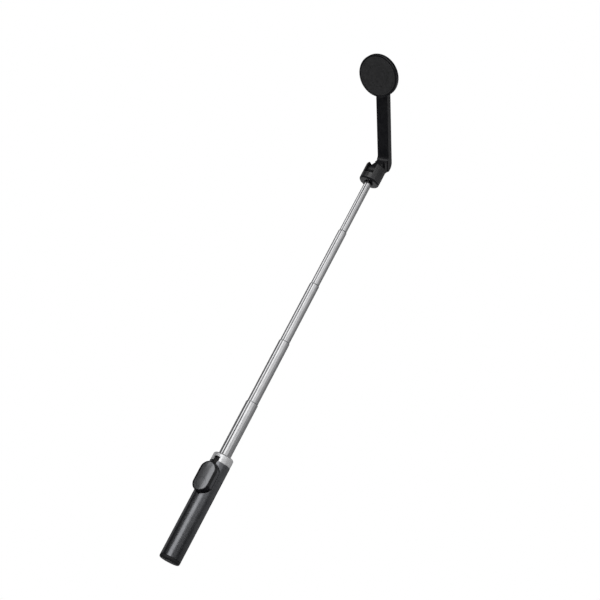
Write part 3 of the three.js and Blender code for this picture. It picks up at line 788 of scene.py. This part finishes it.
TUBE_NODES = [f"tube_{number}" for number in range(1, 6)]
TUBE_WALL = 0.45
RUNNING_GAP = 0.1
GROOVE_R = 2.8                   # the rolled groove's own radius
GROOVE_SETBACK = 2.2             # its centre lies this far outside the tube's skin
GROOVE_SPAN = 20                 # degrees each side of the front that hold it
GROOVE_BLEND = 0.12              # softness of its lips
MOUTH_H = 1.1                    # the rim rolls in over this height
MOUTH_STEPS = 6
DENT_W = 3.0
DENT_H = 4.2
DENT_DEPTH = 0.32
DENT_BELOW_RIM = 5.2
DENT_ROWS = 20
tube_radii = [ends(node, Y)[1] for node in TUBE_NODES]


def outline_turns():
    """Directions of an outline's points from the front, closer together over the groove."""
    fine, plain = 40, 112
    over_groove = [GROOVE_SPAN * (2 * step / fine - 1) for step in range(fine)]
    rest = [GROOVE_SPAN + (360 - 2 * GROOVE_SPAN) * step / plain for step in range(plain)]
    return [math.radians(turn) for turn in over_groove + rest]


def soft_minimum(a, b, softness):
    overlap_share = max(softness - abs(a - b), 0) / softness
    return min(a, b) - overlap_share ** 2 * softness / 4


def grooved(tube_r, offset=0.0):
    """The outline of a grooved tube, or one parallel to it; a negative offset lies inside its skin."""
    centre, groove_r = tube_r + GROOVE_SETBACK, GROOVE_R - offset
    outline = []
    for turn in outline_turns():
        reach = tube_r + offset
        across = centre * math.sin(turn)
        if abs(across) < groove_r and math.cos(turn) > 0:
            groove = centre * math.cos(turn) - math.sqrt(groove_r ** 2 - across ** 2)
            reach = soft_minimum(reach, groove, GROOVE_BLEND)
        outline.append(Vector((reach * math.sin(turn), -reach * math.cos(turn))))
    return outline


def between(outline, other, share):
    return [a.lerp(b, share) for a, b in zip(outline, other)]


def raised(outline, height):
    return [Vector((x, y, height)) for x, y in outline]


def dented(outline, height, dent_height):
    """The outline at a height, pressed in near the two stop dents at the sides."""
    points = []
    for x, y in outline:
        away = (2 * y / DENT_W) ** 2 + (2 * (height - dent_height) / DENT_H) ** 2
        pressed = DENT_DEPTH * (1 - away) ** 2 if away < 1 else 0
        points.append(Vector((x, y, 0)) * (1 - pressed / math.hypot(x, y)) + Vector((0, 0, height)))
    return points


def tube(index):
    """A steel tube: grooved, with stop dents and a rolled-in mouth that guides the next one."""
    node = TUBE_NODES[index]
    low, rim = ends(node, Z)
    outer = grooved(tube_radii[index])
    bore = grooved(tube_radii[index], -TUBE_WALL)
    mouth = grooved(tube_radii[index + 1], RUNNING_GAP)
    dent_height = rim - DENT_BELOW_RIM
    rings = [raised(outer, low)]
    for row in range(DENT_ROWS + 1):
        height = dent_height + DENT_H * (row / DENT_ROWS - 0.5)
        rings.append(dented(outer, height, dent_height))
    for step in range(MOUTH_STEPS + 1):
        turn = math.radians(90) * step / MOUTH_STEPS
        rolled = between(outer, mouth, 1 - math.cos(turn))
        rings.append(raised(rolled, rim - MOUTH_H * (1 - math.sin(turn))))
    lip_low = rim - MOUTH_H - TUBE_WALL
    rings.append(raised(mouth, rim - TUBE_WALL))
    rings.append(raised(between(mouth, bore, 0.5), rim - MOUTH_H))
    rings.append(raised(bore, lip_low))
    rings.append(raised(bore, low))
    piece(node, skin(rings, looped=True))


def last_tube():
    """The thinnest tube, which is plain at the top, inside the head."""
    node = TUBE_NODES[-1]
    low, top = ends(node, Z)
    outer = grooved(tube_radii[-1])
    bore = grooved(tube_radii[-1], -TUBE_WALL)
    piece(node, skin([raised(outer, low), raised(outer, top), raised(bore, top), raised(bore, low)],
                     looped=True))


# ---------------------------------------------------------------- head

SLOT_W = 13.0
SLOT_FLOOR = 8.9                 # above the head's bottom face
SOCKET_MOUTH_W = 1.0             # the tube's socket is this much wider at its mouth
SOCKET_MOUTH_H = 2.0
HINGE_HOLE_R = 2.3
head_r = ends("head_cover", X)[1]
head_low, head_top = ends("head_cover", Z)
joints = {joint["name"]: joint for joint in frame["joints"]}
pivot_z = joints["arm_tilt"]["pos_m"][Z] / METRES
cap_r = (ends("hinge_cap_right", Z)[1] - ends("hinge_cap_right", Z)[0]) / 2
cap_in = ends("hinge_cap_right", X)[0]


def head_blank():
    return turned(rounded([(0, head_low, 0), (head_r, head_low, END_EDGE),
                           (head_r, head_top, END_EDGE), (0, head_top, 0)], 8), 2 * AROUND)


def across(shape, height):
    """Lays a shape turned about Z along X, at a height."""
    return placed(shape, RIGHTWARDS, Matrix.Translation((0, 0, height)))


def head_cover():
    """The forked head: a rounded cylinder with a slot for the arm and holes for its screws."""
    slot = block((-SLOT_W / 2, SLOT_W / 2), (-2 * head_r, 2 * head_r),
                 (head_low + SLOT_FLOOR, head_top + PAST))
    socket_r = tube_radii[-1] + SEAM
    mouth_r, mouth_top = socket_r + SOCKET_MOUTH_W, head_low + SOCKET_MOUTH_H
    socket_low, socket_top = head_low - PAST, head_low + SLOT_FLOOR + PAST
    socket = turned([(0, socket_low), (mouth_r, socket_low), (mouth_r, mouth_top),
                     (socket_r, mouth_top), (socket_r, socket_top), (0, socket_top)])
    hinge_hole = across(cylinder(HINGE_HOLE_R, -head_r - PAST, head_r + PAST), pivot_z)
    screw_seat = ends("hinge_screw", X)[1] - (ends("hinge_nut", X)[1] - ends("hinge_nut", X)[0])
    recesses = [across(cylinder(cap_r + SEAM, *span), pivot_z)
                for span in ((screw_seat - SEAM, head_r + PAST), (-head_r - PAST, SEAM - screw_seat))]
    grub_z = sum(ends("head_grub_screw", Z)) / 2
    grub_r = ends("head_grub_screw", X)[1]
    grub_hole = placed(cylinder(grub_r + SEAM, 0, head_r + PAST), BACKWARDS,
                       Matrix.Translation((0, 0, grub_z)))
    piece("head_cover", cut(head_blank(), slot, socket, hinge_hole, *recesses, grub_hole), bevel=0.35)


def hinge_caps():
    """The plugs over the hinge's screw and nut, flush with the head's round sides."""
    for node, span in (("hinge_cap_right", (cap_in, head_r + PAST)),
                       ("hinge_cap_left", (-head_r - PAST, -cap_in))):
        piece(node, overlap(across(cylinder(cap_r, *span), pivot_z), head_blank()), bevel=0.2)


def head_grub_screw():
    """A set screw with a hexagonal socket, in the back of the head."""
    radius = ends("head_grub_screw", X)[1]
    start, end = ends("head_grub_screw", Y)
    middle = sum(ends("head_grub_screw", Z)) / 2
    socket = cylinder(radius / 2, end - radius, end + PAST, around=6)
    screw = cut(disc(radius, start, end, 0.25), socket)
    piece("head_grub_screw", screw, Matrix.Translation((0, 0, middle)) @ BACKWARDS, bevel=0.06)


# ---------------------------------------------------------------- arm

tilt = math.radians(-joints["arm_tilt"]["range_deg"][0])
ARM_FRAME = Matrix.Translation((0, 0, pivot_z)) @ Matrix.Rotation(tilt, 4, "X")   # z along the arm
ARM_T = 7.6
KNUCKLE_W = 11.0
LEG_TOP = 8.2
LEG_LOW = 6.5                    # the leg's underside below the hinge
LEG_FILLET = 6.0
LEG_W = 15.0
LEG_FROM = 14.5                  # behind the hinge, clear of the head's ears
CORNER_R = 11                    # outside of the bend
SHOULDER = 2                     # the full width starts this far in front of the bar
SCREW_SEAT = 2.2                 # its floor lies this far in front of the swivel screw's end


def arm_ends(node, axis):
    """The lowest and highest place of a node along an axis of the arm's own frame."""
    into_arm = ARM_FRAME.inverted() @ Matrix.Scale(1 / METRES, 4)
    places = [(into_arm @ vertex.co)[axis] for vertex in frame["nodes"][node].data.vertices]
    return min(places), max(places)


knuckle_r = -arm_ends("arm", Y)[0]
arm_back = arm_ends("arm", Y)[1]
arm_top = arm_ends("arm", Z)[1]
arm_width = 2 * ends("arm", X)[1]
arm_front = arm_back - ARM_T
plate_middle = sum(arm_ends("mount_shell", Z)) / 2


def on_plate(shape):
    """Places a shape turned about Z on the plate's axis, its +Z towards the back."""
    return placed(shape, BACKWARDS, Matrix.Translation((0, 0, plate_middle)))


def arm_outline():
    """Side view as (y, z): a round knuckle, a leg going back, and the bar going up."""
    steps = 32
    meet_top = math.asin(LEG_TOP / knuckle_r)
    meet_low = 2 * math.pi - math.asin(LEG_LOW / knuckle_r)
    turns = [meet_top + (meet_low - meet_top) * step / steps for step in range(steps + 1)]
    knuckle = [(knuckle_r * math.cos(turn), knuckle_r * math.sin(turn)) for turn in turns]
    bends = rounded([(0, -LEG_LOW, 0), (arm_back, -LEG_LOW, CORNER_R), (arm_back, arm_top, 0),
                     (arm_front, arm_top, 0), (arm_front, LEG_TOP, LEG_FILLET), (0, LEG_TOP, 0)], 20)
    return [tuple(point) for point in bends[1:-1]] + knuckle


def arm():
    """The cranked arm, from one side outline, stepped in towards the knuckle and rounded at its top."""
    side = prism(arm_outline(), -arm_width / 2, arm_width / 2)
    outline_to_arm = Matrix(((0, 0, 1, 0), (1, 0, 0, 0), (0, 1, 0, 0), (0, 0, 0, 1)))
    side.transform(outline_to_arm)
    front_view = placed(prism(pill(arm_width, 2 * arm_top, 0), -arm_back - PAST, knuckle_r + PAST),
                        FRONTWARDS)
    steps = [block(span, (-reach, reach), (-2 * knuckle_r, 2 * knuckle_r))
             for width, reach in ((KNUCKLE_W, LEG_FROM), (LEG_W, arm_front - SHOULDER))
             for span in ((width / 2, arm_width), (-arm_width, -width / 2))]
    hinge_hole = across(cylinder(HINGE_HOLE_R, -arm_width, arm_width), 0)
    screw_hole = on_plate(cylinder(HINGE_HOLE_R, arm_front - PAST, arm_back + PAST))
    cap_radius = ends("arm_screw_cap", X)[1]
    seat_floor = arm_ends("swivel_screw", Y)[1] - SCREW_SEAT
    counterbore = on_plate(cylinder(cap_radius + SEAM, seat_floor, arm_back + PAST))
    shape = cut(overlap(side, front_view), *steps, hinge_hole, screw_hole, counterbore)
    piece("arm", shape, ARM_FRAME, bevel=0.9)


def arm_screw_cap():
    """A plug over the swivel screw, slightly dished."""
    radius = ends("arm_screw_cap", X)[1]
    front, back = arm_ends("arm_screw_cap", Y)
    profile = rounded([(0, front, 0), (radius, front, 0.1), (radius, back, 0.25), (0, back - 0.15, 0)], 4)
    piece("arm_screw_cap", on_plate(turned(profile)), ARM_FRAME)


# ---------------------------------------------------------------- phone plate

def mount_shell():
    """The plate's dished back with its rim, its hub on the arm and a ring turned in its rear face."""
    floor_t, wall, hub_r = 1.8, 2.1, 9
    groove_out, groove_in, groove_depth = 24.5, 23.7, 0.3
    radius = ends("mount_shell", X)[1]
    rim_front, hub_back = arm_ends("mount_shell", Y)
    floor_front = arm_ends("yoke_ring", Y)[1] + SEAM
    floor_back = floor_front + floor_t
    profile = rounded([
        (HINGE_HOLE_R, hub_back, 0), (HINGE_HOLE_R, floor_front, 0), (radius - wall, floor_front, 0),
        (radius - wall, rim_front, 0.3), (radius, rim_front, 0.6), (radius, floor_back, 1.5),
        (groove_out, floor_back, 0.15), (groove_out, floor_back - groove_depth, 0),
        (groove_in, floor_back - groove_depth, 0), (groove_in, floor_back, 0.15),
        (hub_r, floor_back, 0.8), (hub_r, hub_back, 0.3)])
    piece("mount_shell", on_plate(turned_ring(profile, 2 * AROUND)), ARM_FRAME)


def mount_pad():
    """The soft face that grips the phone, with a rounded edge and two shallow rings."""
    radius = ends("mount_pad", X)[1]
    front, back = arm_ends("mount_pad", Y)
    half_mouth, half_floor, ring_depth = 0.5, 0.3, 0.25
    inner_ring, outer_ring = 0.55, 0.9          # as shares of the pad's radius
    rings = []
    for middle in (radius * inner_ring, radius * outer_ring):
        rings += [(middle - half_mouth, front, 0.15), (middle - half_floor, front + ring_depth, 0.1),
                  (middle + half_floor, front + ring_depth, 0.1), (middle + half_mouth, front, 0.15)]
    profile = rounded([(0, front, 0), *rings, (radius, front, 0.4), (radius, back, 0.1), (0, back, 0)], 4)
    piece("mount_pad", on_plate(turned(profile, 2 * AROUND)), ARM_FRAME)


# ---------------------------------------------------------------- the rest of the frame

def finish_cad_nodes():
    """Gives every CAD node its material and smooth shading."""
    for name, node in frame["nodes"].items():
        node.data.materials.clear()
        node.data.materials.append(FINISHES[SLOTS[name]])
        shade(node)


def make_floor():
    """The floor, which the stick's shiny pieces don't mirror."""
    corners = [(-FLOOR_SIZE, -FLOOR_SIZE), (FLOOR_SIZE, -FLOOR_SIZE),
               (FLOOR_SIZE, FLOOR_SIZE), (-FLOOR_SIZE, FLOOR_SIZE)]
    surface = bmesh.new()
    surface.faces.new([surface.verts.new((x, y, FLOOR_Z)) for x, y in corners])
    data = bpy.data.meshes.new("floor")
    surface.to_mesh(data)
    surface.free()
    data.materials.append(floor_paint())
    thing = bpy.data.objects.new("floor", data)
    bpy.context.scene.collection.objects.link(thing)
    thing.visible_glossy = False


# ---------------------------------------------------------------- everything, in order

make_camera()
make_world()
make_lights()
make_floor()
finish_cad_nodes()

handle_shell()
base_cap()
collar()
remote_cradle()
cradle_tongue()
cradle_magnets()
remote_case()
remote_cell_door()
remote_face()
shutter_button()
for index in range(len(TUBE_NODES) - 1):
    tube(index)
last_tube()
head_cover()
hinge_caps()
head_grub_screw()
arm()
arm_screw_cap()
mount_shell()
mount_pad()
